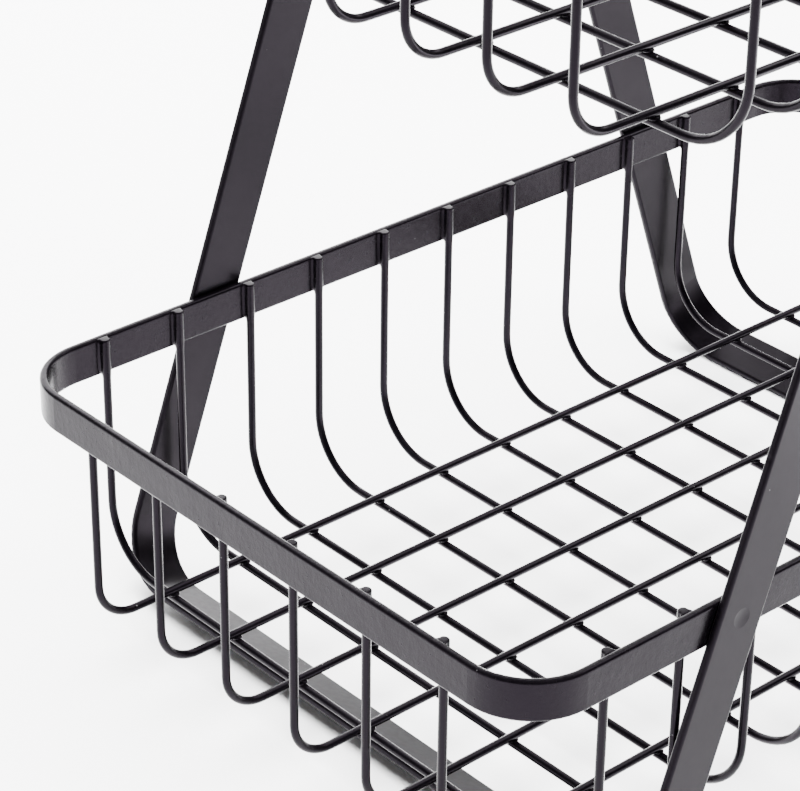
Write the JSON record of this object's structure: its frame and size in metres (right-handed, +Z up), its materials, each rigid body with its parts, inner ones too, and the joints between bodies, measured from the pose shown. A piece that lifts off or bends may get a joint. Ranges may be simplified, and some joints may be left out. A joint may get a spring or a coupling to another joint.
{
  "type": "tiered wire basket",
  "caption": "Two rectangular wire baskets, the smaller over the larger, between two leaning flat-bar hoops that stand as feet and meet as a carry handle.",
  "frame": {"origin": "on the floor, midway between the two hoops and under the middle of both baskets", "axes": "+X along the length of the baskets, +Y across them towards the back, +Z up"},
  "size_m": [0.396, 0.2632, 0.391],
  "materials": {
    "coated_bar": "satin black powder coat over flat steel bar",
    "coated_wire": "satin black powder coat over round steel wire",
    "bare_weld": "small resistance-weld beads where the coat is thin"
  },
  "bodies": {
    "root": {"lower_rim": "coated_bar", "upper_rim": "coated_bar", "left_hoop": "coated_bar", "right_hoop": "coated_bar", "lower_cross_wire_01": "coated_wire", "lower_cross_wire_02": "coated_wire", "lower_cross_wire_03": "coated_wire", "lower_cross_wire_04": "coated_wire", "lower_cross_wire_05": "coated_wire", "lower_cross_wire_06": "coated_wire", "lower_cross_wire_07": "coated_wire", "lower_cross_wire_08": "coated_wire", "lower_cross_wire_09": "coated_wire", "lower_cross_wire_10": "coated_wire", "lower_cross_wire_11": "coated_wire", "lower_long_wire_01": "coated_wire", "lower_long_wire_02": "coated_wire", "lower_long_wire_03": "coated_wire", "lower_long_wire_04": "coated_wire", "lower_long_wire_05": "coated_wire", "lower_long_wire_06": "coated_wire", "upper_cross_wire_01": "coated_wire", "upper_cross_wire_02": "coated_wire", "upper_cross_wire_03": "coated_wire", "upper_cross_wire_04": "coated_wire", "upper_cross_wire_05": "coated_wire", "upper_cross_wire_06": "coated_wire", "upper_cross_wire_07": "coated_wire", "upper_cross_wire_08": "coated_wire", "upper_long_wire_01": "coated_wire", "upper_long_wire_02": "coated_wire", "upper_long_wire_03": "coated_wire", "upper_long_wire_04": "coated_wire", "upper_long_wire_05": "coated_wire", "upper_long_wire_06": "coated_wire"}
  },
  "joints": []
}
